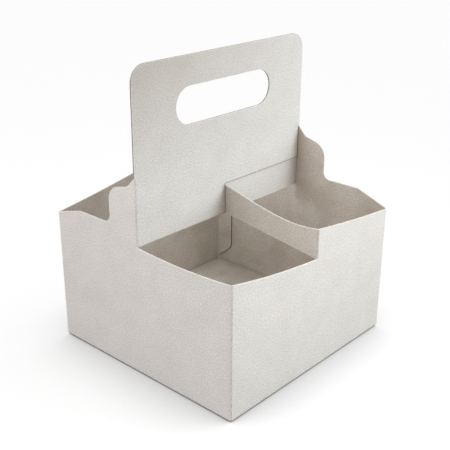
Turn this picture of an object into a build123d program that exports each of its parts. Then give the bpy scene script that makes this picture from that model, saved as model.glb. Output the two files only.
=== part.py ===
from build123d import *
from math import atan2, degrees
import os

# Cup carrier folded and glued from one sheet of board, in millimetres.
# X runs along the handle, Y from the front wall to the back wall, Z up.
# The origin is on the floor, under the middle of the carrier.
# The sheet has half-turn symmetry about Z, apart from a few rim heights.

# The sheet and its folds
board = 0.8  # thickness of the sheet
fold_inside = 0.6  # inside radius of every fold

# The whole carrier, outside
length = 190.0
depth = 186.0
height = 241.0

# Rim heights of the walls
corner_rim = 109.0
raised_corner_rim = 111.5  # at the corner between the left wall and the back wall
side_rim_sag = 2.2  # how far the low rim of a side wall dips
low_step = 95.8  # low half of the front and back rims, where it meets the strap
low_rim_sag = 1.6
front_step = 119.8  # high half of the front rim, where it meets the strap
back_step = 126.5
high_rim_sag = 0.8

# Shoulder of a side wall: distances from the handle, and the rises from one point to the next
ledge_height = 119.6
ledge_reach = 64.8  # where the ledge turns down to the corner
ledge_radius = 12.0
valley_radius = 6.5
shoulder_reach = 29.1
shoulder_rise = 28.3  # from the ledge to the shoulder
shoulder_radius = 13.0
neck_reach = 8.0
neck_rise = 5.4  # from the shoulder to the neck
neck_radius = 7.0
root_rise = 7.7  # from the neck to where the shoulder meets the ply of the handle

# Handle, of two plies glued face to face
ply_low = 108.2  # lower edge of a ply between its crease and the strap
ply_high = 133.1  # lower edge of a ply beyond the strap
ply_notch = 0.5  # how far above the shoulder a ply widens again
ply_clearance = 1.6  # from the free end of a ply to the wall's outer face
handle_corner = 13.0
hole_length = 105.7
hole_width = 28.7
hole_drop = 37.1  # from the handle's top edge down to the middle of the hole

# Straps from the middle of the handle to the front and back walls
strap_root = 131.6  # upper edge at the handle
strap_bend_reach = 15.0
strap_bend_height = 128.5
strap_dip_reach = 72.0
strap_dip_height = 118.3

# Glue flap inside the right wall, at the back corner
flap_width = 17.8
flap_drop = 6.0  # how far its top edge slopes down from the corner
flap_bottom = 9.5
flap_bevel = 13.5
seam_set = 0.3  # how far the right wall's raw edge stops short of the corner

# Bottom: an outer panel, two short flaps on it, and an inner panel above them
outer_panel_set = 3.0  # from its free edge to the front wall's outer face
short_flap_reach = 60.0
short_flap_end = 22.0  # from its ends to the front and back walls' outer faces
inner_panel_top = 7.5  # height of the inner panel's free edge
inner_panel_gap = 0.7  # from the inner panel's edges to the walls

# Worked out from the sizes above
fold_outside = fold_inside + board
fold_middle = fold_inside + board / 2
half_length = length / 2
half_depth = depth / 2
wall_foot = board + fold_outside  # where the walls turn into the bottom folds
wall_middle = half_depth - board / 2
shoulder_height = ledge_height + shoulder_rise
neck_height = shoulder_height + neck_rise
shoulder_root = neck_height + root_rise
flat_end = half_length - board - fold_outside  # where the back wall and the outer panel end

LEFT, RIGHT = 1, -1
FRONT, BACK = 1, -1


def plan(turn, level):
    """Plan at a height, as it is (turn 1) or turned by half a turn (turn -1)."""
    return Plane(origin=(0, 0, level), x_dir=(turn, 0, 0), z_dir=(0, 0, 1))


def along(turn, distance=0.0):
    """Upright plane along the handle, facing out from the front (turn 1) or the back (turn -1)."""
    return Plane(origin=(0, -turn * distance, 0), x_dir=(turn, 0, 0), z_dir=(0, -turn, 0))


def across(turn, distance=0.0):
    """Upright plane across the handle, on the left (turn 1) or the right (turn -1), facing in."""
    return Plane(origin=(-turn * distance, 0, 0), x_dir=(0, turn, 0), z_dir=(turn, 0, 0))


def fold(turn, centre, start_angle, low, high):
    """Upright quarter-round fold of the sheet between two heights, about a centre in plan."""
    with BuildSketch(plan(turn, low)) as bend:
        with BuildLine():
            CenterArc(centre, fold_middle, start_angle, 90)
        trace(line_width=board)
    extrude(bend.sketch, amount=high - low)


def walls():
    """Four walls as one strip at full height, from the back right corner round to its seam."""
    x = half_length - board / 2
    with BuildSketch(plan(FRONT, wall_foot)) as strip:
        with BuildLine():
            FilletPolyline(
                (flat_end, wall_middle),
                (-x, wall_middle),
                (-x, -wall_middle),
                (x, -wall_middle),
                (x, half_depth - seam_set),
                radius=fold_middle,
            )
        trace(line_width=board)
    extrude(strip.sketch, amount=shoulder_root - wall_foot)


def glue_flap():
    """Glue flap, folded round the back right corner and stuck inside the right wall."""
    edge = half_depth - flap_width
    root = half_depth - fold_outside
    with BuildSketch(Plane.YZ.offset(half_length - 2 * board)) as outline:
        with BuildLine():
            Polyline(
                (edge, flap_bottom + flap_bevel),
                (root, flap_bottom),
                (root, corner_rim),
                (edge, corner_rim - flap_drop),
                close=True,
            )
        make_face()
    extrude(outline.sketch, amount=board)
    fold(FRONT, (flat_end, root), 0, flap_bottom, corner_rim)


def side_rim(turn, far_corner):
    """Cut a side wall: a low rim on the near half, a shoulder and a ledge on the far half."""
    above = shoulder_root + fold_outside
    with BuildSketch(across(turn, half_length)) as waste:
        with BuildLine():
            low = SagittaArc((-half_depth, corner_rim), (fold_inside, ply_low), -side_rim_sag)
            crease = Line(low @ 1, (fold_inside, shoulder_root))
            rim = FilletPolyline(
                crease @ 1,
                (neck_reach, neck_height),
                (shoulder_reach, shoulder_height),
                (shoulder_reach, ledge_height),
                (ledge_reach, ledge_height),
                (half_depth, far_corner),
                radius=(neck_radius, shoulder_radius, valley_radius, ledge_radius),
            )
            Polyline(rim @ 1, (half_depth, above), (-half_depth, above), low @ 0)
        make_face()
    extrude(waste.sketch, amount=fold_outside, both=True, mode=Mode.SUBTRACT)


def end_rim(turn, step, high_corner):
    """Cut the front or back wall: a low rim on one half, a step, and a high rim on the other."""
    end = half_length - fold_outside
    above = shoulder_root + fold_outside
    with BuildSketch(along(turn, half_depth)) as waste:
        with BuildLine():
            low = SagittaArc((-end, corner_rim), (fold_outside, low_step), -low_rim_sag)
            rise = Line(low @ 1, (fold_outside, step))
            high = SagittaArc(rise @ 1, (end, high_corner), -high_rim_sag)
            Polyline(high @ 1, (end, above), (-end, above), low @ 0)
        make_face()
    extrude(waste.sketch, amount=fold_outside, both=True, mode=Mode.SUBTRACT)


def handle_ply(turn):
    """One ply of the handle, with the crease where it hangs from a side wall."""
    crease = -half_length + fold_outside
    free_end = half_length - ply_clearance
    notch = shoulder_root + ply_notch
    with BuildSketch(along(turn)) as outline:
        with BuildLine():
            Polyline(
                (crease, ply_low),
                (-fold_inside, ply_low),
                (-fold_inside, ply_high),
                (free_end, ply_high),
                (free_end, notch),
                (half_length, notch),
                (half_length, height),
                (-half_length, height),
                (-half_length, shoulder_root),
                (crease, shoulder_root),
                close=True,
            )
        make_face()
        fillet(outline.vertices().group_by(Axis.Y)[-1], handle_corner)
    extrude(outline.sketch, amount=board)
    fold(turn, (crease, fold_inside), 180, ply_low, shoulder_root)


def hand_hole():
    """Hand hole through both plies."""
    with BuildSketch(along(FRONT)) as slot:
        with Locations((0, height - hole_drop)):
            SlotOverall(hole_length, hole_width)
    extrude(slot.sketch, amount=2 * board, both=True, mode=Mode.SUBTRACT)


def strap(turn, step):
    """Strap from the handle to the front or back wall, folded at both ends."""
    ply_end = board + fold_inside
    wall_end = half_depth - fold_outside
    with BuildSketch(across(turn)) as outline:
        with BuildLine():
            lower = Line((-wall_end, low_step), (-ply_end, ply_low))
            root = Line(lower @ 1, (-ply_end, strap_root))
            upper = Spline(
                root @ 1,
                (-strap_bend_reach, strap_bend_height),
                (-strap_dip_reach, strap_dip_height),
                (-wall_end, step),
            )
            Line(upper @ 1, lower @ 0)
        make_face()
    extrude(outline.sketch, amount=board)
    fold(turn, (-fold_inside, -ply_end), 0, ply_low, strap_root)
    fold(turn, (fold_outside, -wall_end), 180, low_step, step)


def outer_panel():
    """Outer bottom panel, flat on the floor and folded up into the back wall."""
    with BuildSketch(Plane.YZ) as section:
        with BuildLine():
            FilletPolyline(
                (-half_depth + outer_panel_set, board / 2),
                (wall_middle, board / 2),
                (wall_middle, wall_foot),
                radius=fold_middle,
            )
        trace(line_width=board)
    extrude(section.sketch, amount=flat_end, both=True)


def short_flap(turn):
    """Short bottom flap that lies on the outer panel, and its fold along the whole side wall."""
    fold_start = half_length - fold_outside
    tip = half_length - short_flap_reach
    with BuildSketch(along(turn)) as section:
        with BuildLine():
            CenterArc((fold_start, wall_foot), fold_middle, -90, 90)
        trace(line_width=board)
    extrude(section.sketch, amount=half_depth - fold_outside, both=True)
    with BuildSketch(along(turn)) as section:
        with Locations((tip, board)):
            Rectangle(fold_start - tip, board, align=(Align.MIN, Align.MIN))
    extrude(section.sketch, amount=half_depth - short_flap_end, both=True)


def inner_panel():
    """Inner bottom panel, folded from the front wall and rising to its free edge at the back."""
    fold_end = half_depth - fold_outside
    far_edge = half_depth - board - inner_panel_gap
    rise = inner_panel_top - board / 2 - (wall_foot - fold_middle)
    slope = 2 * degrees(atan2(rise, fold_end + far_edge))
    with BuildSketch(across(BACK)) as section:
        with BuildLine():
            bend = CenterArc((fold_end, wall_foot), fold_middle, 0, -90 - slope)
            TangentArc(bend @ 1, (-far_edge, inner_panel_top - board / 2), tangent=bend % 1)
        trace(line_width=board)
    extrude(section.sketch, amount=half_length - board - inner_panel_gap, both=True)


with BuildPart() as cup_carrier:
    walls()
    side_rim(LEFT, raised_corner_rim)
    side_rim(RIGHT, corner_rim)
    end_rim(FRONT, front_step, corner_rim)
    end_rim(BACK, back_step, raised_corner_rim)
    glue_flap()
    for side in (FRONT, BACK):
        handle_ply(side)
    hand_hole()
    strap(FRONT, front_step)
    strap(BACK, back_step)
    outer_panel()
    for side in (LEFT, RIGHT):
        short_flap(side)
    inner_panel()

cup_carrier.part.label = "cup_carrier"

os.makedirs("parts", exist_ok=True)
export_step(cup_carrier.part, "parts/cup_carrier.step")
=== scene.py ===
import math

import bpy
import numpy as np
from mathutils import Matrix
from mathutils.geometry import delaunay_2d_cdt
from mathutils.kdtree import KDTree


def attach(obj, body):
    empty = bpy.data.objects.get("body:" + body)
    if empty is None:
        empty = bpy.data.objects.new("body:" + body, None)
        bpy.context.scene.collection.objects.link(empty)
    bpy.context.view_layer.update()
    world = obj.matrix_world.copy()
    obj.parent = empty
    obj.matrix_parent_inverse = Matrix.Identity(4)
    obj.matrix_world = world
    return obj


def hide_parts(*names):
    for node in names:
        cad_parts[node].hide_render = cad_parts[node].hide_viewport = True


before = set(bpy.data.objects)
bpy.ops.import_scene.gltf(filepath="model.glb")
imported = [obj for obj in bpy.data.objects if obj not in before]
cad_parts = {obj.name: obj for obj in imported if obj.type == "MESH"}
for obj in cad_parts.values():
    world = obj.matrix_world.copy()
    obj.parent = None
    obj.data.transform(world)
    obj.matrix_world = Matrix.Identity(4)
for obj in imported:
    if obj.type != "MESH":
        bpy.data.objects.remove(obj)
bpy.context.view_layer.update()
print("stage: frame loaded")

# The carrier is one sheet of board, folded. Lengths are in millimetres and repeat the solid's
carrier = {
    "board": 0.8,
    "shownBoard": 0.74,  # shown a little thinner, so that a fine line stays between glued plies
    "edgeRound": 0.13,  # rounding of the cut edges
    "foldInside": 0.6,  # inside radius of every fold
    "length": 190.0,
    "depth": 186.0,
    "height": 241.0,
    # Heights of the rims, and how far they dip between their ends
    "cornerRim": 109.0,
    "raisedCornerRim": 111.5,
    "sideSag": 2.2,
    "lowStep": 95.8,
    "lowSag": 1.6,
    "frontStep": 119.8,
    "backStep": 126.5,
    "highSag": 0.8,
    # Corner points of a side wall's shoulder and ledge, as distance from the handle and height
    "shoulder": [(8.0, 153.3), (29.1, 147.9), (29.1, 119.6), (64.8, 119.6)],
    "shoulderRadii": [7.0, 13.0, 6.5, 12.0],
    "shoulderRoot": 161.0,
    # Handle plies: the two heights of their lower edge, and their free end
    "plyLow": 108.2,
    "plyHigh": 133.1,
    "plyNotch": 0.5,
    "plyClearance": 1.6,
    "plyRadii": [0.2, 0.5, 0.2, 0.5],
    "rootRadius": 0.3,
    "handleCorner": 13.0,
    "holeLength": 105.7,
    "holeWidth": 28.7,
    "holeHeight": 203.9,
    # Straps, with the two middle points of their upper edge
    "strapRoot": 131.6,
    "strapUpper": [(-15.0, 128.5), (-72.0, 118.3)],
    # Glue flap and the seam beside it
    "flapWidth": 17.8,
    "flapDrop": 6.0,
    "flapBottom": 9.5,
    "flapBevel": 13.5,
    "flapFoldLow": 5.0,
    "flapRound": 4.0,
    "seamSet": 0.3,
    # Bottom panels
    "outerPanelSet": 3.0,
    "shortFlapReach": 60.0,
    "shortFlapEnd": 22.0,
    "innerPanelTop": 7.5,
    "innerPanelGap": 0.7,
    # How fine the mesh is
    "grid": 3.6,
    "foldSteps": 8,
}

# Painted shade: dark lines in folds, gaps and at the floor, and soft shades in hollows, in corners and towards the
# handle's top. Lengths are in millimetres, and strengths go from 0 to 1
paintedShadeLook = {
    "fade": 1.4,  # how quickly a soft shade falls away
    "strapLine": 0.62,  # half widths of the painted shade lines in folds
    "endLine": 0.75,
    "stripLine": 0.3,
    "footLine": 1.9,  # top of the painted contact shade line at the floor, and how far it blurs
    "footBlur": 0.7,
    "highEdge": 0.8,  # strengths of the painted shade lines at a ply's lower edges
    "lowEdge": 0.4,
    "edgeBand": 3.5,
    "edgeSlack": 0.3,
    "besideTop": 2.0,  # reach of the shade beside a strap's fold, and how much more it is at the foot
    "besideFoot": 15.0,
    "besideSlack": 0.2,
    "endReach": 8.0,  # shade at a ply's free end, and how it runs out upward
    "endOver": 4.0,
    "endRun": 12.0,
    "stripReach": 16.0,
    "stripOver": 3.0,
    "handleTopShade": 0.74,  # painted shade towards the handle's top
    "handleShadeFrom": 150.0,
    "handleShadeRise": 85.0,
    "handleShadeLean": 0.8,  # how much less it is at a ply's free end
    "wallReach": 26.0,  # shade on a side wall beside the handle
    "wallSoft": 0.75,
    "wallLine": 14.0,
    "wallSlack": 0.1,
    "cornerReach": 45.0,  # and towards its raised corner
    "cornerSoft": 0.4,
    "cornerFoldShadeReach": 4.0,  # painted shade on the outside of a corner fold
    "cornerFoldShadeSoft": 0.2,
    "creaseSoft": 0.8,
    "strapReach": 30.0,
    "strapSoft": 0.4,
    "panelReach": 16.0,
    "panelSoft": 0.7,
}
paintedShadeColumns = ("outerLine", "outerSoft", "outerEdge", "innerLine", "innerSoft", "innerEdge")
farAway = 99.0  # distance given where there is no fold or cut
foldHalf = 0.8  # where a panel's distance to a fold begins, outside the fold's own band


# Points of the arc from start to end that dips below its chord by sag
def arcPoints(start, end, sag, count=28):
    start, end = np.array(start, float), np.array(end, float)
    chord = np.linalg.norm(end - start)
    t = np.linspace(0, 1, count)
    radius = (chord * chord / 4 + sag * sag) / (2 * sag)
    across = (t - 0.5) * chord
    dip = np.sqrt(radius * radius - across * across) - (radius - sag)
    along = (end - start) / chord
    down = np.array([along[1], -along[0]])
    if down[1] > 0:
        down = -down
    return start + np.outer(t * chord, along) + np.outer(dip, down)


# A polyline with its inner corners filleted
def rounded(points, radii, count=9):
    points = [np.array(p, float) for p in points]
    made = [points[0]]
    for before, at, after, radius in zip(points, points[1:], points[2:], radii):
        a = (before - at) / np.linalg.norm(before - at)
        b = (after - at) / np.linalg.norm(after - at)
        half = math.acos(np.clip(a @ b, -1, 1)) / 2
        reach = radius / math.tan(half)
        centre = at + (a + b) / np.linalg.norm(a + b) * radius / math.sin(half)
        first, last = at + a * reach - centre, at + b * reach - centre
        turn = math.atan2(first[0] * last[1] - first[1] * last[0], first @ last)
        for k in range(count):
            angle = turn * k / (count - 1)
            c, s = math.cos(angle), math.sin(angle)
            made.append(centre + np.array([c * first[0] - s * first[1], s * first[0] + c * first[1]]))
    made.append(points[-1])
    return np.array(made)


# Columns side by side, where a single number fills its whole column
def columns(*parts):
    return np.stack(np.broadcast_arrays(*[np.asarray(p, float) for p in parts]), axis=1)


# Even points from start to end, both included
def stations(start, end, step):
    start, end = np.array(start, float), np.array(end, float)
    count = max(1, round(float(np.linalg.norm(end - start)) / step))
    return start + np.outer(np.linspace(0, 1, count + 1), end - start)


# The same line with no run longer than step
def finer(points, step):
    made = [points[0]]
    for a, b in zip(points, points[1:]):
        made.extend(stations(a, b, step)[1:])
    return np.array(made)


# Smooth line through four points, as height over distance
def curveThrough(points, count=24):
    points = np.array(points, float)
    t = np.concatenate([[0], np.cumsum(np.linalg.norm(np.diff(points, axis=0), axis=1))])
    t /= t[-1]
    fit = np.linalg.solve(np.vander(t, 4), points)
    return np.vander(np.linspace(0, 1, count), 4) @ fit


# Distance of each point to the nearest of the segments
def lineDistance(points, segments):
    if not len(segments):
        return np.full(len(points), farAway)
    a, b = segments[:, 0], segments[:, 1]
    d = b - a
    rel = points[:, None] - a[None]
    t = np.clip((rel * d).sum(-1) / np.maximum((d * d).sum(-1), 1e-12), 0, 1)
    return np.sqrt(((rel - t[..., None] * d) ** 2).sum(-1)).min(1)


# True for each point within the closed loop
def inside(points, loop):
    x, y = points[:, 0:1], points[:, 1:2]
    a, b = loop, np.roll(loop, -1, axis=0)
    crosses = (a[:, 1] > y) != (b[:, 1] > y)
    rise = np.where(b[:, 1] == a[:, 1], 1e-9, b[:, 1] - a[:, 1])
    at = a[:, 0] + (y - a[:, 1]) / rise * (b[:, 0] - a[:, 0])
    return (np.sum(crosses & (x < at), axis=1) % 2).astype(bool)


# Middle surface of the board, gathered patch by patch
class Sheet:
    def __init__(self):
        self.points, self.normals, self.blank, self.marks, self.faces, self.slots = [], [], [], [], [], []
        self.sides = (0, 1)  # material slots of the outer and the inner side
        self.seam, self.edgeShades = (0.0, 0.0), []  # how dark the painted shade on the cut edge is, on each side
        self.shade, self.shades = None, []  # painted shade of the panel that comes next, and of all points

    def add(self, points, normals, blank, folds, cuts, faces):
        base = sum(len(p) for p in self.points)
        points = np.array(points, float)
        normals = np.broadcast_to(np.array(normals, float), points.shape)
        self.points.append(points)
        self.normals.append(normals)
        self.blank.append(np.array(blank, float))
        self.marks.append(np.stack([folds, cuts], axis=1))
        self.edgeShades.append(np.tile(self.seam, (len(points), 1)))
        self.shades.append(paintedShadeOf(points) if self.shade is None else self.shade(points))
        for face in faces:
            a, b, c = (points[i] for i in face[:3])
            middle = normals[list(face)].mean(0)
            face = tuple(int(i) + base for i in face)
            self.faces.append(face if np.cross(b - a, c - a) @ middle > 0 else face[::-1])
            self.slots.append(self.sides)

    # A flat panel. Each run is (kind, points), where kind is cut or fold, and the runs close a loop
    def flat(self, runs, place, normal, blank, step, hole=None):
        loop = np.concatenate([points[:-1] for _, points in runs])
        pairs = {"cut": [], "fold": []}
        for kind, points in runs:
            pairs[kind] += list(zip(points, points[1:]))
        loops = [loop]
        if hole is not None:
            pairs["cut"] += list(zip(hole, np.roll(hole, -1, axis=0)))
            loops.append(hole)
        cuts, folds = (np.array(pairs[kind], float).reshape(-1, 2, 2) for kind in ("cut", "fold"))
        low, high = loop.min(0), loop.max(0)
        axes = [np.linspace(low[k], high[k], max(2, round((high[k] - low[k]) / step) + 1)) for k in (0, 1)]
        grid = np.stack(np.meshgrid(*axes), axis=-1).reshape(-1, 2)
        grid = grid[inside(grid, loop)]
        if hole is not None:
            grid = grid[~inside(grid, hole)]
        clear = 0.45 * step  # how far the grid stays from the outline
        grid = grid[lineDistance(grid, np.concatenate([cuts, folds])) > clear]
        every = np.concatenate([*loops, grid])
        edges, first = [], 0
        for one in loops:
            count = len(one)
            edges += [(first + i, first + (i + 1) % count) for i in range(count)]
            first += count
        found = delaunay_2d_cdt([tuple(p) for p in every], edges, [], 0, 1e-7)  # least distance of two points
        spots = np.array([tuple(p) for p in found[0]])
        triangles = np.array([tuple(f) for f in found[2]])
        centres = spots[triangles].mean(1)
        keep = inside(centres, loop)
        if hole is not None:
            keep &= ~inside(centres, hole)
        self.add(
            [place(a, z) for a, z in spots],
            normal,
            [blank(a, z) for a, z in spots],
            lineDistance(spots, folds) + foldHalf,
            lineDistance(spots, cuts),
            triangles[keep],
        )

    # A strip of quads between rows of points, such as a fold or a plain panel
    def band(self, sections, normals, blanks, folds, cuts):
        rows, width = len(sections), len(sections[0])
        faces = [
            (r * width + k, r * width + k + 1, (r + 1) * width + k + 1, (r + 1) * width + k)
            for r in range(rows - 1)
            for k in range(width - 1)
        ]
        self.add(
            np.concatenate(sections),
            np.concatenate([np.broadcast_to(n, (width, 3)) for n in normals]),
            np.concatenate(blanks),
            np.concatenate(folds),
            np.concatenate(cuts),
            faces,
        )


# Upright fold about a centre in plan. The ends are (low, high) at its first and last line
def wallFold(sheet, turn, centre, startAngle, firstEnds, lastEnds, heights, u, toward=1):
    c = carrier
    radius = c["foldInside"] + c["board"] / 2
    steps = c["foldSteps"]
    length = radius * math.pi / 2
    sections, normals, blanks, folds, cuts = [], [], [], [], []
    for k in range(steps + 1):
        t = k / steps
        angle = math.radians(startAngle + 90 * t)
        out = np.array([math.cos(angle), math.sin(angle), 0])
        low = firstEnds[0] + (lastEnds[0] - firstEnds[0]) * t
        high = firstEnds[1] + (lastEnds[1] - firstEnds[1]) * t
        z = low + (high - low) * heights
        xy = np.array(centre) + out[:2] * radius
        sections.append(np.stack([z * 0 + turn * xy[0], z * 0 + turn * xy[1], z], axis=1))
        normals.append(out * [turn, turn, 1] * toward)
        blanks.append(np.stack([z * 0 + u[0] + (u[1] - u[0]) * t, z], axis=1))
        folds.append(np.full(len(z), abs(t - 0.5) * length))
        cuts.append(np.minimum(z - low, high - z))
    sheet.band(sections, normals, blanks, folds, cuts)


# Shared places along an upright fold line, from 0 to 1
def fractions(low, high, step):
    return np.linspace(0, 1, max(1, round((high - low) / step)) + 1)


# Painted shade of each point, for the outer and then the inner side: half width of a dark fold line, soft shade,
# edge line
def paintedShadeOf(points, **given):
    made = np.zeros((len(points), len(paintedShadeColumns)))
    for label, value in given.items():
        made[:, paintedShadeColumns.index(label)] = value
    return made


# 1 at no distance, falling away to 0 at the reach
def fade(distance, reach):
    return np.clip(1 - distance / np.maximum(reach, 1e-6), 0, 1) ** paintedShadeLook["fade"]


# Painted shade on a ply: beside the strap's fold, at both ends, towards the top and along its lower edge
def plyPaintedShade(points, turn):
    c, g = carrier, paintedShadeLook
    across, z = turn * points[:, 0], points[:, 2]
    beside = -c["foldInside"] - across
    drop = np.clip((c["strapRoot"] - z) / (c["strapRoot"] - c["plyLow"]), 0, 1)
    strap = fade(beside, g["besideTop"] + g["besideFoot"] * drop)
    strap = strap * (beside > -g["besideSlack"]) * (z < c["strapRoot"] + 1)
    end = fade(c["length"] / 2 - c["plyClearance"] - across, g["endReach"])
    end = end * np.clip((c["shoulderRoot"] + g["endOver"] - z) / g["endRun"], 0, 1)
    strip = fade(across + c["length"] / 2, g["stripReach"]) * (z < c["plyHigh"] + g["stripOver"])
    handleTopShade = g["handleTopShade"] * np.clip((z - g["handleShadeFrom"]) / g["handleShadeRise"], 0, 1)
    handleTopShade = handleTopShade * (1 - g["handleShadeLean"] * (across / c["length"] + 0.5))
    high = (beside < g["edgeSlack"]) & (z < c["plyHigh"] + g["edgeBand"])
    low = (beside > -g["edgeSlack"]) & (z < c["plyLow"] + g["edgeBand"])
    edge = high * g["highEdge"] + low * g["lowEdge"]
    return paintedShadeOf(points, outerSoft=np.maximum(np.maximum(strap, end), handleTopShade), outerEdge=edge, innerSoft=strip)


# Painted shade on a side wall: beside the handle's ply, in its corners and beside a corner fold's outside
def wallPaintedShade(points, turn):
    c, g = carrier, paintedShadeLook
    y, z = turn * points[:, 1], points[:, 2]
    beside = y - c["foldInside"]
    near = (beside > -g["wallSlack"]) & (beside < g["wallLine"]) & (z > c["plyLow"] - 2)
    width = np.where(z > c["plyHigh"] - 4, g["endLine"], g["stripLine"])
    soft = fade(beside, g["wallReach"]) * (z > c["plyLow"] - 14) * g["wallSoft"] * (beside > -g["wallSlack"])
    soft = np.maximum(soft, fade(c["depth"] / 2 - y, g["cornerReach"]) * g["cornerSoft"])
    cornerFoldShade = np.clip(1 - (c["depth"] / 2 + y) / g["cornerFoldShadeReach"], 0, 1) * g["cornerFoldShadeSoft"]
    return paintedShadeOf(points, outerSoft=cornerFoldShade, innerLine=near * width, innerSoft=soft)


# Painted shade in a handle ply's fold, seen from inside, with a fainter line below the other ply's lower edge
def creasePaintedShade(points):
    g = paintedShadeLook
    line = np.where(points[:, 2] > carrier["plyHigh"], g["endLine"], g["stripLine"])
    return paintedShadeOf(points, innerLine=line, innerSoft=g["creaseSoft"])


# Painted shade on a strap, towards the handle
def strapPaintedShade(points, turn):
    soft = fade(-turn * points[:, 1], paintedShadeLook["strapReach"]) * paintedShadeLook["strapSoft"]
    return paintedShadeOf(points, outerSoft=soft, innerSoft=soft)


# Painted shade on the inner bottom panel, towards the walls
def panelPaintedShade(points):
    c, g = carrier, paintedShadeLook
    x, y = abs(points[:, 0]), abs(points[:, 1])
    soft = np.maximum(fade(c["length"] / 2 - x, g["panelReach"]), fade(c["depth"] / 2 - y, g["panelReach"]))
    return paintedShadeOf(points, innerSoft=soft * g["panelSoft"])


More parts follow.
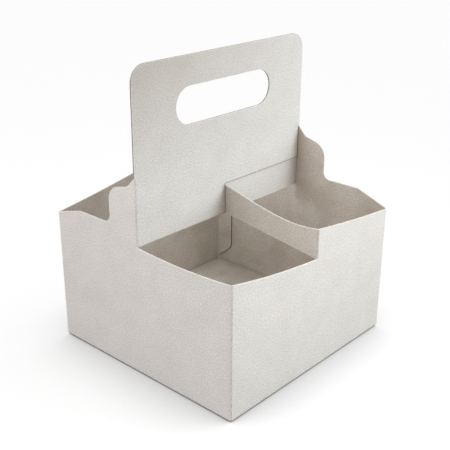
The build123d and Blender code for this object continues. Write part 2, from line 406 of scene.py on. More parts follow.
# The whole folded sheet, panel by panel. Blank coordinates run on from panel to panel
def makeSheet():
    c = carrier
    board, step = c["board"], c["grid"]
    outside, middle = c["foldInside"] + board, c["foldInside"] + board / 2
    halfLength, halfDepth = c["length"] / 2, c["depth"] / 2
    foot = board + outside
    xWall, yWall = halfLength - board / 2, halfDepth - board / 2
    xEnd, yEnd = halfLength - outside, halfDepth - outside
    flatEnd = halfLength - board - outside
    bend = middle * math.pi / 2
    sheet = Sheet()

    # Where each panel lies on the blank, measured round the walls from the glue flap's root
    uBack = flatEnd
    uLeft = uBack + xEnd + bend + yEnd
    uFront = uLeft + yEnd + bend + xEnd
    uRight = uFront + xEnd + bend + yEnd

    def sideRim(farCorner):
        low = arcPoints((-halfDepth, c["cornerRim"]), (c["foldInside"], c["plyLow"]), c["sideSag"])
        high = rounded(
            [(c["foldInside"], c["shoulderRoot"]), *c["shoulder"], (halfDepth, farCorner)], c["shoulderRadii"]
        )
        return low, high

    # The part of a line on one side of a distance a, ending exactly there
    def clipped(line, a, keepLow):
        z = np.interp(a, line[:, 0], line[:, 1])
        part = line[line[:, 0] < a - 1e-6] if keepLow else line[line[:, 0] > a + 1e-6]
        return np.concatenate([part, [(a, z)]]) if keepLow else np.concatenate([[(a, z)], part])

    def endRim(stepHeight, highCorner, first):
        low = arcPoints((-xEnd, c["cornerRim"]), (outside, c["lowStep"]), c["lowSag"])
        high = arcPoints((outside, stepHeight), (xEnd, highCorner), c["highSag"])
        return clipped(low, first, False) if first > -xEnd else low, high

    corners = {}
    for turn, farCorner in ((1, c["raisedCornerRim"]), (-1, c["cornerRim"])):
        low, high = sideRim(farCorner)
        near = -yEnd if turn > 0 else -(halfDepth - c["seamSet"])
        low = clipped(low, near, False)
        high = clipped(high, yEnd, True)
        corners[turn] = (low[0, 1], high[-1, 1])
        crease = fractions(c["plyLow"], c["shoulderRoot"], step)
        creaseZ = c["plyLow"] + (c["shoulderRoot"] - c["plyLow"]) * crease
        farRows = foot + (high[-1, 1] - foot) * fractions(foot, c["cornerRim"], step)
        nearRows = foot + (low[0, 1] - foot) * fractions(foot, c["cornerRim"], step)
        sole = [stations((-yEnd, foot), (-(halfDepth - c["shortFlapEnd"]), foot), step)[:, 0]]
        edge = halfDepth - c["shortFlapEnd"]
        sole.append(stations((-edge, foot), (edge, foot), step)[1:, 0])
        sole.append(-sole[0][::-1][1:])
        sole = np.concatenate(sole)
        runs = [
            ("fold", columns(sole, foot)),
            ("fold", columns(yEnd, farRows)),
            ("cut", finer(high[::-1], step)),
            ("fold", columns(c["foldInside"], creaseZ)[::-1]),
            ("cut", finer(low[::-1], step)),
            ("fold" if turn > 0 else "cut", columns(near, nearRows)[::-1]),
        ]
        if turn < 0:
            runs.append(("cut", np.array([(near, foot), (-yEnd, foot)])))
        u = uLeft if turn > 0 else uRight
        sheet.shade = lambda p, turn=turn: wallPaintedShade(p, turn)
        sheet.flat(
            runs,
            lambda a, z, turn=turn: (-turn * xWall, turn * a, z),
            (-turn, 0, 0),
            lambda a, z, u=u: (u - a, z),
            step,
        )
        sheet.shade = None
        # The fold under the wall and the short flap
        angles = np.linspace(0, math.pi / 2, c["foldSteps"] // 2 + 1)
        sections = [
            columns(-turn * (xEnd + middle * math.cos(t)), turn * sole, foot - middle * math.sin(t))
            for t in angles
        ]
        sheet.band(
            sections,
            [(-turn * math.cos(t), 0, -math.sin(t)) for t in angles],
            [columns(u - sole, foot - middle * t) for t in angles],
            [np.full(len(sole), abs(t / angles[-1] - 0.5) * bend) for t in angles],
            [yEnd - abs(sole) for _ in angles],
        )
        y = sole[abs(sole) <= edge + 1e-6]
        xs = stations((xEnd, 0), (halfLength - c["shortFlapReach"], 0), step)[:, 0]
        sheet.band(
            [columns(-turn * x, turn * y, foot - middle) for x in xs],
            [(0, 0, -1) for _ in xs],
            [columns(u - y, foot - bend - (xEnd - x)) for x in xs],
            [np.full(len(y), xEnd - x + foldHalf) for x in xs],
            [np.minimum(edge - abs(y), x - xs[-1]) for x in xs],
        )

    endWalls = ((1, c["frontStep"], c["cornerRim"]), (-1, c["backStep"], c["raisedCornerRim"]))
    for turn, stepHeight, highCorner in endWalls:
        first = -xEnd if turn > 0 else -flatEnd
        low, high = endRim(stepHeight, highCorner, first)
        rise = c["lowStep"] + (stepHeight - c["lowStep"]) * fractions(c["lowStep"], stepHeight, step)
        firstRows = foot + (low[0, 1] - foot) * fractions(foot, c["cornerRim"], step)
        lastRows = foot + (high[-1, 1] - foot) * fractions(foot, c["cornerRim"], step)
        sole = stations((first, foot), (xEnd, foot), step)[:, 0]
        runs = [
            ("fold", columns(sole, foot)),
            ("fold", columns(xEnd, lastRows)),
            ("cut", finer(high[::-1], step)),
            ("fold", columns(outside, rise)[::-1]),
            ("cut", finer(low[::-1], step)),
        ]
        if turn > 0:
            runs.append(("fold", columns(first, firstRows)[::-1]))
        else:
            flapShare = fractions(c["flapBottom"], c["cornerRim"], step)
            firstRows = c["flapFoldLow"] + (low[0, 1] - c["flapFoldLow"]) * flapShare
            runs.append(("fold", columns(first, firstRows)[::-1]))
            runs.append(("cut", np.array([(first, c["flapFoldLow"]), (first, foot)])))
        u = uFront if turn > 0 else uBack
        sheet.flat(
            runs,
            lambda a, z, turn=turn: (turn * a, -turn * yWall, z),
            (0, -turn, 0),
            lambda a, z, u=u: (u + a, z),
            step,
        )
        corners[("end", turn)] = (low[0, 1], high[-1, 1])
        if turn > 0:
            # Inner bottom panel: hinged at the front wall, rising and levelling out to the back
            farEdge = halfDepth - board - c["innerPanelGap"]
            riseAll = c["innerPanelTop"] - board / 2 - (foot - middle)
            slope = 2 * math.atan2(riseAll, yEnd + farEdge)
            wide = halfLength - board - c["innerPanelGap"]
            angles = np.linspace(0, math.pi / 2 + slope, c["foldSteps"] // 2 + 1)
            path = [
                (-(yEnd + middle * math.cos(t)), foot - middle * math.sin(t), -math.cos(t), -math.sin(t))
                for t in angles
            ]
            startY, startZ = path[-1][:2]
            chord = math.hypot(farEdge - startY, c["innerPanelTop"] - board / 2 - startZ)
            radius = chord / (2 * math.sin(slope / 2))
            count = round(chord / step)
            for k in range(1, count + 1):
                t = slope * (1 - k / count)
                path.append((
                    startY + radius * (math.sin(slope) - math.sin(t)),
                    startZ + radius * (math.cos(t) - math.cos(slope)),
                    math.sin(t),
                    -math.cos(t),
                ))
            bends = len(angles)
        else:
            # Outer bottom panel: flat on the floor, hinged at the back wall
            wide = flatEnd
            angles = np.linspace(0, math.pi / 2, c["foldSteps"] // 2 + 1)
            path = [(yWall, foot, 1, 0)]
            path += [
                (yEnd + middle * math.cos(t), board / 2 + middle - middle * math.sin(t), math.cos(t), -math.sin(t))
                for t in angles
            ]
            flatRun = stations((yEnd, 0), (c["outerPanelSet"] - halfDepth, 0), step)[1:, 0]
            path += [(y, board / 2, 0, -1) for y in flatRun]
            bends = len(angles) + 1
        run = np.concatenate([[0], np.cumsum([math.dist(a[:2], b[:2]) for a, b in zip(path, path[1:])])])
        squeeze = [min(1.0, k / (bends - 1)) for k in range(len(path))]
        xs = [turn * (sole + (np.clip(sole, -wide, wide) - sole) * s) for s in squeeze]
        sheet.shade = panelPaintedShade if turn > 0 else None
        sheet.band(
            [columns(x, y, z) for x, (y, z, _, _) in zip(xs, path)],
            [(0, ny, nz) for _, _, ny, nz in path],
            [columns(u + sole, foot - r) for r in run],
            [np.full(len(sole), abs(r - run[bends // 2])) for r in run],
            [np.minimum(wide - abs(np.clip(sole, -wide, wide)), run[-1] - r) for r in run],
        )
        sheet.shade = None

    # Corner folds, and the glue flap with its fold
    share = fractions(foot, c["cornerRim"], step)
    back, front = corners[("end", -1)], corners[("end", 1)]
    for centre, start, firstTop, lastTop, foldRun in (
        ((-xEnd, yEnd), 90, back[1], corners[1][1], (uBack + xEnd, uLeft - yEnd)),
        ((-xEnd, -yEnd), 180, corners[1][0], front[0], (uLeft + yEnd, uFront - xEnd)),
        ((xEnd, -yEnd), 270, front[1], corners[-1][1], (uFront + xEnd, uRight - yEnd)),
    ):
        wallFold(sheet, 1, centre, start, (foot, firstTop), (foot, lastTop), share, foldRun)
    share = fractions(c["flapBottom"], c["cornerRim"], step)
    root = (c["flapBottom"], c["cornerRim"])
    wallFold(sheet, 1, (flatEnd, yEnd), 0, root, (c["flapFoldLow"], back[0]), share, (-bend, 0))
    flapEdge = halfDepth - c["flapWidth"]
    rows = root[0] + (root[1] - root[0]) * share
    outline = rounded(
        [
            (yEnd, root[1]), (flapEdge, c["cornerRim"] - c["flapDrop"]),
            (flapEdge, c["flapBottom"] + c["flapBevel"]), (yEnd, root[0]),
        ],
        [c["flapRound"], 2 * c["flapRound"]],
    )
    # Painted shade along the glue flap's cut edge and its lips
    sheet.seam, sheet.shade = (1.0, 1.0), lambda p: paintedShadeOf(p, innerEdge=1)
    sheet.flat(
        [("fold", columns(yEnd, rows)), ("cut", finer(outline, step))],
        lambda a, z: (halfLength - 1.5 * board, a, z),
        (1, 0, 0),
        lambda a, z: (-bend - (yEnd - a), z),
        step,
    )
    sheet.seam, sheet.shade = (0.0, 0.0), None

    # Handle plies and straps
    for turn, stepHeight in ((1, c["frontStep"]), (-1, c["backStep"])):
        freeEnd = halfLength - c["plyClearance"]
        notch = c["shoulderRoot"] + c["plyNotch"]
        top, corner = c["height"], c["handleCorner"]
        strapLine = -c["foldInside"]
        crease = fractions(c["plyLow"], c["shoulderRoot"], step)
        creaseZ = c["plyLow"] + (c["shoulderRoot"] - c["plyLow"]) * crease
        strapZ = c["plyLow"] + (c["strapRoot"] - c["plyLow"]) * fractions(c["plyLow"], c["strapRoot"], step)
        outline = rounded(
            [
                (strapLine, c["strapRoot"]), (strapLine, c["plyHigh"]), (freeEnd, c["plyHigh"]), (freeEnd, notch),
                (halfLength, notch), (halfLength, top), (-halfLength, top), (-halfLength, c["shoulderRoot"]),
                (-xEnd, c["shoulderRoot"]),
            ],
            [*c["plyRadii"], corner, corner, c["rootRadius"]],
        )
        half = c["holeWidth"] / 2
        centre = c["holeLength"] / 2 - half
        turns = np.linspace(-math.pi / 2, math.pi / 2, 21)
        right = columns(centre + half * np.cos(turns), c["holeHeight"] + half * np.sin(turns))
        left = columns(-centre - half * np.cos(turns), c["holeHeight"] - half * np.sin(turns))
        hole = np.concatenate([right, left])
        hole = finer(np.concatenate([hole, hole[:1]]), step)[:-1]
        u = (uLeft if turn > 0 else uRight) - c["foldInside"] + bend + xEnd
        # The plies take the lighter handle board, painted light, with painted shade on their cut edges' inner lip
        sheet.sides, sheet.seam = (4, 4), (0.0, 1.0)
        sheet.shade = lambda p, turn=turn: plyPaintedShade(p, turn)
        sheet.flat(
            [
                ("fold", columns(-xEnd, creaseZ)[::-1]),
                ("cut", stations((-xEnd, c["plyLow"]), (strapLine, c["plyLow"]), step)),
                ("fold", columns(strapLine, strapZ)),
                ("cut", finer(outline, step)),
            ],
            lambda a, z, turn=turn: (turn * a, -turn * board / 2, z),
            (0, -turn, 0),
            lambda a, z, u=u: (u + a, z),
            step,
            hole,
        )
        sheet.sides, sheet.seam, sheet.shade = (0, 1), (0.0, 0.0), None
        ends = (c["plyLow"], c["shoulderRoot"])
        sheet.shade = creasePaintedShade
        wallFold(sheet, turn, (-xEnd, c["foldInside"]), 180, ends, ends, crease, (u - xEnd - bend, u - xEnd))
        # The strap takes the darker strap board, painted shade, with a painted shade line in its fold
        sheet.sides, sheet.shade = (3, 1), lambda p: paintedShadeOf(p, outerLine=paintedShadeLook["strapLine"])
        ends = (c["plyLow"], c["strapRoot"])
        plyEnd = board + c["foldInside"]
        strapShare = fractions(c["plyLow"], c["strapRoot"], step)
        foldRun = (u + strapLine + bend, u + strapLine)
        wallFold(sheet, turn, (strapLine, -plyEnd), 0, ends, ends, strapShare, foldRun, toward=-1)
        sheet.shade = lambda p, turn=turn: strapPaintedShade(p, turn)
        upper = curveThrough([(-plyEnd, c["strapRoot"]), *c["strapUpper"], (-yEnd, stepHeight)])
        rise = c["lowStep"] + (stepHeight - c["lowStep"]) * fractions(c["lowStep"], stepHeight, step)
        us = u + strapLine + bend
        sheet.flat(
            [
                ("cut", stations((-yEnd, c["lowStep"]), (-plyEnd, c["plyLow"]), step)),
                ("fold", columns(-plyEnd, strapZ)),
                ("cut", finer(upper, step)),
                ("fold", columns(-yEnd, rise)[::-1]),
            ],
            lambda a, z, turn=turn: (turn * board / 2, turn * a, z),
            (-turn, 0, 0),
            lambda a, z, us=us: (us - plyEnd - a, z),
            step,
        )
        sheet.shade = None
        ends = (c["lowStep"], stepHeight)
        riseShare = fractions(c["lowStep"], stepHeight, step)
        hinge = us - plyEnd + yEnd
        wallFold(sheet, turn, (outside, -yEnd), 180, ends, ends, riseShare, (hinge, hinge + bend))
        sheet.sides = (0, 1)
    return sheet


# Slight unevenness that the real sheet has, in millimetres, and how it runs out at the floor and the box's sides
uneven = {"waveX": 0.10, "rippleX": 0.04, "waveY": 0.12, "rippleY": -0.05, "floorRun": 30, "sideRun": 3}


# One smooth field through space moves the points
def warp(points):
    x, y, z = points.T
    wave = np.sin(x / 31 + 1.3) * np.cos(y / 37 - z / 43 + 0.4)  # lengths and phases of a slow swell
    ripple = np.sin(x / 13 - z / 17 + 0.7) * np.sin(y / 15 + z / 19 + 2.1)  # and of a finer one
    lift = np.clip(z / uneven["floorRun"], 0, 1)
    roomX, roomY = (
        np.clip((carrier[side] / 2 - abs(along)) / uneven["sideRun"], 0, 1)
        for side, along in (("length", x), ("depth", y))
    )
    return points + columns(
        lift * (uneven["waveX"] * wave + uneven["rippleX"] * ripple) * roomX,
        lift * (uneven["waveY"] * wave + uneven["rippleY"] * ripple) * roomY,
        z * 0,
    )


# Closes the sheet into a solid mesh: outer side, inner side and rounded cut edges
def buildCarrier(name, materials):
    sheet = makeSheet()
    points, normals = np.concatenate(sheet.points), np.concatenate(sheet.normals)
    blank, marks = np.concatenate(sheet.blank), np.concatenate(sheet.marks)
    edgeShades, shades = np.concatenate(sheet.edgeShades), np.concatenate(sheet.shades)

    # Welds the panels where they meet
    weldDistance = 0.004
    tree = KDTree(len(points))
    for i, p in enumerate(points):
        tree.insert(p, i)
    tree.balance()
    same = np.arange(len(points))
    for i, p in enumerate(points):
        same[i] = min(j for _, j, _ in tree.find_range(p, weldDistance))
    kept, index = np.unique(same, return_inverse=True)
    points, blank, marks, edgeShades = points[kept], blank[kept], marks[kept], edgeShades[kept]
    shared = paintedShadeOf(kept)
    np.maximum.at(shared, index, shades)
    gathered = np.zeros_like(points)
    np.add.at(gathered, index, normals)
    normals = gathered / np.maximum(np.linalg.norm(gathered, axis=1, keepdims=True), 1e-9)
    faces, sides = [], []
    for face, slots in zip(sheet.faces, sheet.slots):
        face = [int(index[i]) for i in face]
        face = [v for k, v in enumerate(face) if v != face[k - 1]]
        if len(set(face)) > 2:
            faces.append(face)
            sides.append(slots)
    points = warp(points)

    # Cut edges: the sides of faces that have no neighbour
    borders = {(a, b) for face in faces for a, b in zip(face, face[1:] + face[:1])}
    rim = sorted((a, b) for a, b in borders if (b, a) not in borders)
    inward = np.zeros_like(points)
    for a, b in rim:
        along = points[b] - points[a]
        along /= max(np.linalg.norm(along), 1e-9)
        for v in (a, b):
            inward[v] += np.cross(normals[v], along)
    size = np.linalg.norm(inward, axis=1)
    onRim = sorted({v for side in rim for v in side})
    mitreLimit, sharpest = 1.4, 0.3
    for v in onRim:
        inward[v] = inward[v] / size[v] * min(2 / size[v], mitreLimit) if size[v] > sharpest else 0

    half, roundness = carrier["shownBoard"] / 2, carrier["edgeRound"]
    count = len(points)
    inset = inward * roundness
    outer, inner = points + normals * half + inset, points - normals * half + inset
    lip = {v: 2 * count + k for k, v in enumerate(onRim)}
    lips = len(onRim)
    upperLip = np.array([points[v] + normals[v] * (half - roundness) for v in onRim])
    lowerLip = np.array([points[v] - normals[v] * (half - roundness) for v in onRim])
    every = np.concatenate([outer, inner, upperLip, lowerLip]) * 0.001

    polygons, slots = [], []
    for face, (outerSlot, innerSlot) in zip(faces, sides):
        polygons.append(face)
        polygons.append([v + count for v in reversed(face)])
        slots += [outerSlot, innerSlot]
    broadFaces = len(polygons)
    for a, b in rim:
        la, lb = lip[a], lip[b]
        polygons.append([b, a, la, lb])
        polygons.append([lb, la, la + lips, lb + lips])
        polygons.append([lb + lips, la + lips, a + count, b + count])
        slots += [2, 2, 2]

    mesh = bpy.data.meshes.new(name)
    mesh.from_pydata([tuple(p) for p in every], [], polygons)
    mesh.polygons.foreach_set("material_index", slots)
    mesh.polygons.foreach_set("use_smooth", [True] * len(polygons))
    for material in materials:
        mesh.materials.append(material)

    # Normals: each broad side keeps its own, so the rounded edges don't shade it
    corner = np.zeros(len(mesh.loops), np.int64)
    mesh.loops.foreach_get("vertex_index", corner)
    shading = np.zeros((len(every), 3))
    for polygon in mesh.polygons[:broadFaces]:
        shading[list(polygon.vertices)] += np.array(polygon.normal) * polygon.area
    lean = 0.8  # how far a cut edge's normals lean to the broad sides
    for k, v in enumerate(onRim):
        shading[2 * count + k] = normals[v] * lean - inward[v]
        shading[2 * count + lips + k] = -normals[v] * lean - inward[v]
    length = np.linalg.norm(shading, axis=1, keepdims=True)
    shading = np.where(length > 1e-12, shading / np.maximum(length, 1e-12), [0, 0, 1])
    mesh.normals_split_custom_set([tuple(n) for n in shading[corner]])

    # Blank coordinates and distances, in millimetres, for the materials
    # The third coordinate keeps the pattern of each side and edge apart
    u, v = blank.T
    blanks = [columns(u, v, 0), columns(u, v, 40), columns(u, v, 0.25)[onRim], columns(u, v, 0.6)[onRim]]
    # The painted contact shade line at the floor is on the outer side alone; the cut edges add their painted edge
    # shade to it
    foot = np.clip((paintedShadeLook["footLine"] - points[:, 2]) / paintedShadeLook["footBlur"], 0, 1)
    sides = [foot, foot * 0]
    edges = [np.maximum(line, edgeShades[:, k])[onRim] for k, line in enumerate(sides)]
    distances = [np.column_stack([marks, line]) for line in sides]
    distances += [np.column_stack([marks[onRim], line]) for line in edges]
    paintedShades = [shared[:, :3], shared[:, 3:], shared[onRim, :3], shared[onRim, 3:]]
    for label, parts in (("sheet", blanks), ("marks", distances), ("paintedShade", paintedShades)):
        attribute = mesh.attributes.new(label, "FLOAT_VECTOR", "POINT")
        attribute.data.foreach_set("vector", np.concatenate(parts).astype(np.float32).ravel())
    mesh.validate()
    mesh.update()
    made = bpy.data.objects.new(name, mesh)
    bpy.context.scene.collection.objects.link(made)
    return made


# A shader node group with its sockets. Each entry is (name, kind, default)
def newGroup(name, inputs, outputs):
    tree = bpy.data.node_groups.new(name, "ShaderNodeTree")
    for label, kind, default in inputs:
        socket = tree.interface.new_socket(label, in_out="INPUT", socket_type="NodeSocket" + kind)
        if default is not None:
            socket.default_value = default
    for label, kind in outputs:
        tree.interface.new_socket(label, in_out="OUTPUT", socket_type="NodeSocket" + kind)
    return tree, tree.nodes.new("NodeGroupInput"), tree.nodes.new("NodeGroupOutput")


# Adds a node. Values set its properties, and links go to its input sockets by name or number
def put(tree, kind, links=None, **values):
    node = tree.nodes.new(kind)
    for key, value in values.items():
        setattr(node, key, value)
    for key, value in (links or {}).items():
        socket = node.inputs[key]
        if isinstance(value, bpy.types.NodeSocket):
            tree.links.new(value, socket)
        else:
            socket.default_value = value
    return node


# A Math node's output
def maths(tree, operation, *values, clamp=False):
    node = put(tree, "ShaderNodeMath", dict(enumerate(values)), operation=operation, use_clamp=clamp)
    return node.outputs[0]


# Smooth change from start to end as value goes from low to high
def ramp(tree, value, low, high, start=0.0, end=1.0):
    ends = {"From Min": low, "From Max": high, "To Min": start, "To Max": end}
    node = put(tree, "ShaderNodeMapRange", {"Value": value, **ends}, interpolation_type="SMOOTHSTEP")
    return node.outputs[0]


# A noise texture's value, with the scale in features per millimetre
def noise(tree, vector, scale, detail=2.0, roughness=0.5, distortion=0.0):
    node = put(tree, "ShaderNodeTexNoise", {
        "Vector": vector, "Scale": scale, "Detail": detail, "Roughness": roughness, "Distortion": distortion,
    })
    return node.outputs[0]


# Mix of two colours
def mixColour(tree, factor, first, second):
    node = tree.nodes.new("ShaderNodeMix")
    node.data_type = "RGBA"
    for socket, value in zip((node.inputs[0], node.inputs[6], node.inputs[7]), (factor, first, second)):
        if isinstance(value, bpy.types.NodeSocket):
            tree.links.new(value, socket)
        else:
            socket.default_value = value
    return node.outputs[2]


# The board's pattern. Scales are in features for each millimetre
fibres = {
    "grainScale": 0.95,
    "grainSwing": 1.05,
    "cloudScale": 0.05,
    "cloudDrift": 0.14,
    "hairScale": 0.16,
    "hairWidth": 0.011,  # in the noise's own values
    "hairPart": (0.56, 0.62),  # where a hair shows along its line
    "hairHeight": 0.35,
    "speckScale": 0.11,
    "speckSize": 0.30,
    "speckShare": 0.78,  # cells below this have no speck
    "speckBlur": 0.012,
    "tintScale": 0.33,
    "tintPart": (0.60, 0.72),
    "tintArea": 0.12,
    "tintAreaPart": (0.42, 0.62),
    "hueScale": 0.22,
    "hueSwing": 0.11,
    "hueShares": (1.0, -0.6, 0.1),
    "stainScale": 0.045,
    "stainPart": (0.42, 0.68),
    "breakScale": 0.55,  # where a fold's surface is cracked
    "breakPart": (0.40, 0.56),
}

# Colour and strength of each thing that lies on the base colour; softShade, foldLine, edgeLine and footLine are
# painted shade
boardMarks = {
    "stain": ((0.40, 0.315, 0.25, 1), 1.0),
    "red": ((0.72, 0.48, 0.42, 1), 0.16),
    "blue": ((0.50, 0.55, 0.66, 1), 0.13),
    "hair": ((0.88, 0.85, 0.79, 1), 0.35),
    "darkHair": ((0.30, 0.24, 0.19, 1), 0.28),
    "speck": ((0.16, 0.13, 0.11, 1), 0.75),
    "crack": ((0.30, 0.26, 0.22, 1), 0.5),
    "dent": ((0.40, 0.36, 0.32, 1), 0.07),
    "wornEdge": ((0.92, 0.90, 0.86, 1), 0.30),
    "softShade": ((0.30, 0.22, 0.15, 1), 0.55),
    "foldLine": ((0.07, 0.05, 0.035, 1), 0.8),
    "edgeLine": ((0.13, 0.095, 0.065, 1), 0.8),
    "footLine": ((0.07, 0.06, 0.05, 1), 0.88),
}
# Distances in millimetres, from none of a mark to all of it
markReach = {
    "crack": (0.55, 0.15),
    "dent": (2.4, 0.9),
    "wornEdge": (0.8, 0.1),
    "foldLine": (0.0, -0.35),
    "edgeLine": (0.70, 0.45),
    "footLine": (0.15, 0.75),  # not a distance, but a share of the line's blur
}


# Pattern of recycled board: grain, clouds, hair fibres, dark specks and dyed fibres
def fibreGroup():
    f = fibres
    names = ("Grain", "Cloud", "Hair", "Dark hair", "Speck", "Red", "Blue", "Hue", "Stain", "Height")
    tree, given, result = newGroup("boardFibres", [("Vector", "Vector", None)], [(name, "Float") for name in names])
    vector = given.outputs["Vector"]

    def shifted(offset):
        return put(tree, "ShaderNodeVectorMath", {0: vector, 1: offset}, operation="ADD").outputs[0]

    def hairs(offset, scale):
        moved = shifted(offset)
        line = noise(tree, moved, scale, 1.5, 0.6, 0.6)
        near = maths(tree, "ABSOLUTE", maths(tree, "SUBTRACT", line, 0.5))
        thin = ramp(tree, near, f["hairWidth"], f["hairWidth"] * 0.3)
        part = ramp(tree, noise(tree, moved, scale * 2.3, 1, 0.5), *f["hairPart"])
        return maths(tree, "MULTIPLY", thin, part)

    def tint(offset):
        moved = shifted(offset)
        blob = ramp(tree, noise(tree, moved, f["tintScale"], 3, 0.6), *f["tintPart"])
        area = ramp(tree, noise(tree, moved, f["tintScale"] * f["tintArea"], 1, 0.5), *f["tintAreaPart"])
        return maths(tree, "MULTIPLY", blob, area)

    grain = noise(tree, vector, f["grainScale"], 4, 0.62)
    cloud = noise(tree, vector, f["cloudScale"], 4, 0.55)
    hair = maths(tree, "MAXIMUM", hairs((11, 5, 3), f["hairScale"]), hairs((71, 35, 9), f["hairScale"] * 1.7))
    darkHair = hairs((131, 77, 21), f["hairScale"] * 1.3)
    cells = put(tree, "ShaderNodeTexVoronoi", {"Vector": vector, "Scale": f["speckScale"], "Randomness": 1.0})
    pick = put(tree, "ShaderNodeSeparateColor", {0: cells.outputs["Color"]})
    share = ramp(tree, pick.outputs[0], f["speckShare"], 1.0)
    reach = maths(tree, "MULTIPLY", share, f["speckSize"] * f["speckScale"])
    speck = ramp(tree, maths(tree, "SUBTRACT", cells.outputs["Distance"], reach), 0.0, -f["speckBlur"])
    red, blue = tint((310, 20, 4)), tint((-210, 150, 8))
    moved = shifted((57, 91, 33))
    hue = maths(tree, "SUBTRACT", noise(tree, moved, f["hueScale"], 3, 0.6), 0.5)
    stain = ramp(tree, noise(tree, moved, f["stainScale"], 3, 0.55), *f["stainPart"])
    height = maths(tree, "ADD", grain, maths(tree, "MULTIPLY", hair, f["hairHeight"]))
    for name, socket in zip(names, (grain, cloud, hair, darkHair, speck, red, blue, hue, stain, height)):
        tree.links.new(socket, result.inputs[name])
    return tree


# Puts the fibre pattern on a base colour, with the marks at folds and cut edges, and the painted shade lines and
# soft shades
def toneGroup():
    f = fibres
    tree, given, result = newGroup(
        "boardTone",
        [("Base", "Color", (0.7, 0.7, 0.7, 1)), ("Contrast", "Float", 1.0), ("Fold line", "Float", 1.0),
         ("Worn edge", "Float", 1.0), ("Stain", "Float", 0.0), ("Vector", "Vector", None),
         ("Marks", "Vector", None), ("Painted shade", "Vector", None)],
        [("Color", "Color"), ("Height", "Float")],
    )
    g = given.outputs
    pattern = put(tree, "ShaderNodeGroup", node_tree=bpy.data.node_groups["boardFibres"])
    tree.links.new(g["Vector"], pattern.inputs["Vector"])
    p = pattern.outputs
    foldDistance, cutDistance, footLine = put(tree, "ShaderNodeSeparateXYZ", {0: g["Marks"]}).outputs
    foldWidth, softShade, edgeLine = put(tree, "ShaderNodeSeparateXYZ", {0: g["Painted shade"]}).outputs

    def product(*values):
        total = values[0]
        for value in values[1:]:
            total = maths(tree, "MULTIPLY", total, value)
        return total

    # Light and dark grain, then a slow drift from warm to cool
    swing = product(maths(tree, "SUBTRACT", p["Grain"], 0.5), f["grainSwing"])
    drift = product(maths(tree, "SUBTRACT", p["Cloud"], 0.5), f["cloudDrift"])
    level = maths(tree, "ADD", product(maths(tree, "ADD", swing, drift), g["Contrast"]), 1.0)
    colour = put(tree, "ShaderNodeVectorMath", {0: g["Base"], "Scale": level}, operation="SCALE").outputs[0]
    warm = product(p["Hue"], f["hueSwing"])
    drifts = [maths(tree, "MULTIPLY_ADD", warm, share, 1.0) for share in f["hueShares"]]
    drifts = put(tree, "ShaderNodeCombineXYZ", dict(enumerate(drifts))).outputs[0]
    colour = put(tree, "ShaderNodeVectorMath", {0: colour, 1: drifts}, operation="MULTIPLY").outputs[0]

    # A fold's surface cracks a little along its middle; a cut edge is paler and fluffed up
    breaks = ramp(tree, noise(tree, g["Vector"], f["breakScale"], 2, 0.6), *f["breakPart"])

    def near(distance, mark):
        return ramp(tree, distance, *markReach[mark])

    masks = {
        "stain": product(p["Stain"], g["Stain"]),
        "red": p["Red"],
        "blue": p["Blue"],
        "hair": p["Hair"],
        "darkHair": p["Dark hair"],
        "speck": p["Speck"],
        "crack": product(near(foldDistance, "crack"), breaks, g["Fold line"]),
        "dent": product(near(foldDistance, "dent"), g["Fold line"]),
        "wornEdge": product(near(cutDistance, "wornEdge"), g["Worn edge"]),
        # The last four marks are painted shade: soft shades, dark lines in folds and gaps, lines at cut edges and
        # the contact line at the floor
        "softShade": softShade,
        "foldLine": near(maths(tree, "SUBTRACT", foldDistance, foldWidth), "foldLine"),
        "edgeLine": product(near(cutDistance, "edgeLine"), edgeLine),
        "footLine": near(footLine, "footLine"),
    }
    for name, mask in masks.items():
        tint, strength = boardMarks[name]
        colour = mixColour(tree, product(mask, strength), colour, tint)
    tree.links.new(colour, result.inputs["Color"])
    tree.links.new(p["Height"], result.inputs["Height"])
    return tree


# Board with the shared pattern, for one side of the sheet or its cut edge
def boardMaterial(name, look):
    material = bpy.data.materials.new(name)
    material.use_nodes = True
    tree = material.node_tree
    tree.nodes.clear()
    tone = put(tree, "ShaderNodeGroup", node_tree=bpy.data.node_groups["boardTone"])
    for label, key in (
        ("Base", "colour"), ("Contrast", "contrast"), ("Fold line", "foldLine"),
        ("Worn edge", "wornEdge"), ("Stain", "stain"),
    ):
        tone.inputs[label].default_value = look[key]
    for label, attribute in (("Vector", "sheet"), ("Marks", "marks"), ("Painted shade", "paintedShade")):
        values = put(tree, "ShaderNodeAttribute", attribute_name=attribute).outputs["Vector"]
        tree.links.new(values, tone.inputs[label])
    height = tone.outputs["Height"]
    bump = put(tree, "ShaderNodeBump", {"Strength": look["bump"], "Distance": finish["bumpDepth"], "Height": height})
    swing = finish["roughSwing"]
    rough = ramp(tree, height, *finish["roughRange"], look["roughness"] + swing, look["roughness"] - swing)
    shader = put(tree, "ShaderNodeBsdfPrincipled", {
        "Base Color": tone.outputs["Color"], "Roughness": rough, "Specular IOR Level": finish["specular"],
        "Normal": bump.outputs[0],
    })
    output = tree.nodes.new("ShaderNodeOutputMaterial")
    tree.links.new(shader.outputs[0], output.inputs["Surface"])
    return material


finish = {
    "bumpDepth": 0.00012,  # metres
    "roughSwing": 0.05,
    "roughRange": (0.3, 0.75),
    "specular": 0.25,
}
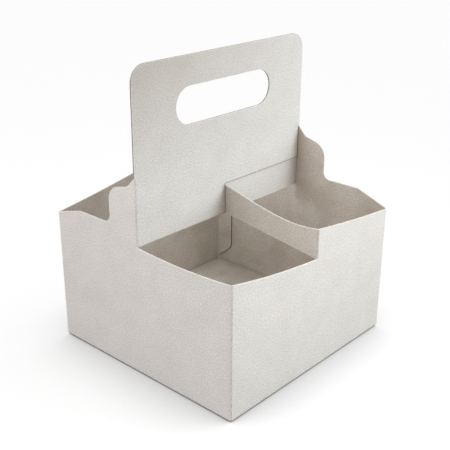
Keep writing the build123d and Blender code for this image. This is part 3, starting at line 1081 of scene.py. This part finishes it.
# The sheet's two sides, its cut edge, and its outer side where it is a strap, darker for painted shade, or the
# handle, lighter for painted light
boardLooks = {
    "boardOuter": {
        "colour": (0.715, 0.695, 0.662, 1), "contrast": 1.15, "foldLine": 0.12, "wornEdge": 0.8, "stain": 0.03,
        "roughness": 0.88, "bump": 0.30,
    },
    "boardInner": {
        "colour": (0.628, 0.585, 0.528, 1), "contrast": 1.6, "foldLine": 0.15, "wornEdge": 1.3, "stain": 0.28,
        "roughness": 0.92, "bump": 0.40,
    },
    "boardEdge": {
        "colour": (0.850, 0.820, 0.768, 1), "contrast": 1.4, "foldLine": 0.0, "wornEdge": 0.0, "stain": 0.0,
        "roughness": 0.95, "bump": 0.40,
    },
    "boardStrapPaintedShade": {
        "colour": (0.600, 0.560, 0.506, 1), "contrast": 1.4, "foldLine": 0.5, "wornEdge": 1.2, "stain": 0.12,
        "roughness": 0.88, "bump": 0.30,
    },
    "boardHandlePaintedLight": {
        "colour": (0.738, 0.728, 0.704, 1), "contrast": 1.15, "foldLine": 0.12, "wornEdge": 0.8, "stain": 0.03,
        "roughness": 0.88, "bump": 0.30,
    },
}
fibreGroup()
toneGroup()
boards = [boardMaterial(name, look) for name, look in boardLooks.items()]
folded = buildCarrier("foldedCarrier", boards)
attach(folded, "root")
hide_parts("cup_carrier")
print("stage: carrier", len(folded.data.polygons), "faces")

# The floor
floorLook = {
    "radius": 6.0,
    "sides": 96,
    "litColour": 0.41,  # what lights the carrier from below
    "seenColour": 0.29,
    "seenWhite": 0.712,
    "contactDepth": 0.43,  # how dark the contact shadow is, and how far it reaches in metres
    "contactReach": 0.066,
    "contactPower": 1.7,
    "contactSamples": 16,
}
floorMesh = bpy.data.meshes.new("floor")
angles = np.linspace(0, 2 * math.pi, floorLook["sides"] + 1)[:-1]
ring = [(floorLook["radius"] * math.cos(t), floorLook["radius"] * math.sin(t), 0) for t in angles]
floorMesh.from_pydata(ring, [], [list(range(len(ring)))])
floor = bpy.data.objects.new("floor", floorMesh)
bpy.context.scene.collection.objects.link(floor)
floorMaterial = bpy.data.materials.new("floor")
floorMaterial.use_nodes = True
tree = floorMaterial.node_tree
tree.nodes.clear()
rays = tree.nodes.new("ShaderNodeLightPath").outputs
seen = maths(tree, "MAXIMUM", rays["Is Camera Ray"], rays["Is Glossy Ray"])
tone = ramp(tree, seen, 0, 1, floorLook["litColour"], floorLook["seenColour"])
diffuse = put(tree, "ShaderNodeBsdfDiffuse", {"Color": tone})
occlusion = put(
    tree, "ShaderNodeAmbientOcclusion", {"Distance": floorLook["contactReach"]}, samples=floorLook["contactSamples"],
)
closed = maths(tree, "MULTIPLY", maths(tree, "SUBTRACT", 1.0, occlusion.outputs["AO"]), 2.0)  # 1 at a wall's foot
shadow = maths(tree, "MULTIPLY", maths(tree, "POWER", closed, floorLook["contactPower"]), floorLook["contactDepth"])
level = maths(tree, "MULTIPLY", maths(tree, "SUBTRACT", 1.0, shadow), floorLook["seenWhite"])
white = put(tree, "ShaderNodeEmission", {"Strength": maths(tree, "MULTIPLY", level, seen)})
shader = put(tree, "ShaderNodeAddShader", {0: diffuse.outputs[0], 1: white.outputs[0]})
output = tree.nodes.new("ShaderNodeOutputMaterial")
tree.links.new(shader.outputs[0], output.inputs["Surface"])
floorMesh.materials.append(floorMaterial)
print("stage: floor")

# The light
lightLook = {
    "sky": (0.05, 0.05, 0.05),  # the sky's even part
    # Soft glows in it: azimuth and height in degrees, colour with strength, how narrow
    "glows": [(-30, 35, (2.45, 2.54, 2.54), 8), (150, 5, (1.74, 1.66, 1.65), 4)],
    # Soft boxes near the carrier: place, size and power
    "boxes": [
        ((0.175, -0.303, 0.25), 0.25, 0.45),
        ((-0.35, 0.0, 0.50), 0.25, 0.77),
        ((-0.062, -0.232, 0.13), 0.12, 0.047),
    ],
    "boxAim": (0, 0, 0.12),
}
world = bpy.data.worlds.new("studio")
bpy.context.scene.world = world
world.use_nodes = True
tree = world.node_tree
tree.nodes.clear()
rays = tree.nodes.new("ShaderNodeLightPath").outputs
mirrored = maths(tree, "MAXIMUM", rays["Is Glossy Ray"], rays["Is Transmission Ray"])
seen = maths(tree, "MAXIMUM", rays["Is Camera Ray"], mirrored)
direction = tree.nodes.new("ShaderNodeTexCoord").outputs["Generated"]
total = lightLook["sky"]
for azimuth, height, colour, narrow in lightLook["glows"]:
    a, e = math.radians(azimuth), math.radians(height)
    source = (math.cos(a) * math.cos(e), math.sin(a) * math.cos(e), math.sin(e))
    toward = put(tree, "ShaderNodeVectorMath", {0: direction, 1: source}, operation="DOT_PRODUCT").outputs["Value"]
    glow = maths(tree, "POWER", maths(tree, "MULTIPLY_ADD", toward, 0.5, 0.5, clamp=True), narrow)
    part = put(tree, "ShaderNodeVectorMath", {0: colour, "Scale": glow}, operation="SCALE").outputs[0]
    total = put(tree, "ShaderNodeVectorMath", {0: part, 1: total}, operation="ADD").outputs[0]
sky = put(tree, "ShaderNodeBackground", {"Color": total, "Strength": 1.0})
white = put(tree, "ShaderNodeBackground", {"Color": (1, 1, 1, 1), "Strength": 1.0})
mixed = put(tree, "ShaderNodeMixShader", {0: seen, 1: sky.outputs[0], 2: white.outputs[0]})
output = tree.nodes.new("ShaderNodeOutputWorld")
tree.links.new(mixed.outputs[0], output.inputs["Surface"])


# Puts an object at a place, with its own X along side and its own Z along back
def aim(thing, place, side, back):
    up = np.cross(back, side)
    thing.matrix_world = Matrix([[side[i], up[i], back[i], place[i]] for i in range(3)] + [[0, 0, 0, 1]])
    bpy.context.scene.collection.objects.link(thing)


def unit(vector):
    return vector / np.linalg.norm(vector)


for number, (place, size, power) in enumerate(lightLook["boxes"]):
    boxData = bpy.data.lights.new(f"softBox{number}", "AREA")
    boxData.shape = "DISK"
    boxData.size = size
    boxData.energy = power
    softBox = bpy.data.objects.new(f"softBox{number}", boxData)
    softBox.visible_camera = False
    back = unit(np.array(place) - np.array(lightLook["boxAim"]))
    aim(softBox, place, unit(np.cross((0, 0, 1), back)), back)
print("stage: light")

# The camera, at the photograph's angle
cameraLook = {
    "place": (-0.4526, -0.4096, 0.3524),
    "forward": (0.6845, 0.6185, -0.3859),
    "right": (0.6718, -0.7407, 0.0044),
    "lens": 65.09,
    "sensor": 36.0,
    "clip": (0.05, 30),
}
cameraData = bpy.data.cameras.new("camera")
cameraData.sensor_fit = "HORIZONTAL"
cameraData.sensor_width = cameraLook["sensor"]
cameraData.lens = cameraLook["lens"]
cameraData.clip_start, cameraData.clip_end = cameraLook["clip"]
camera = bpy.data.objects.new("camera", cameraData)
back = -unit(np.array(cameraLook["forward"]))
right = np.array(cameraLook["right"])
aim(camera, cameraLook["place"], unit(right - back * (right @ back)), back)
bpy.context.scene.camera = camera
bpy.context.scene.view_settings.view_transform = "Standard"
print("stage: camera")
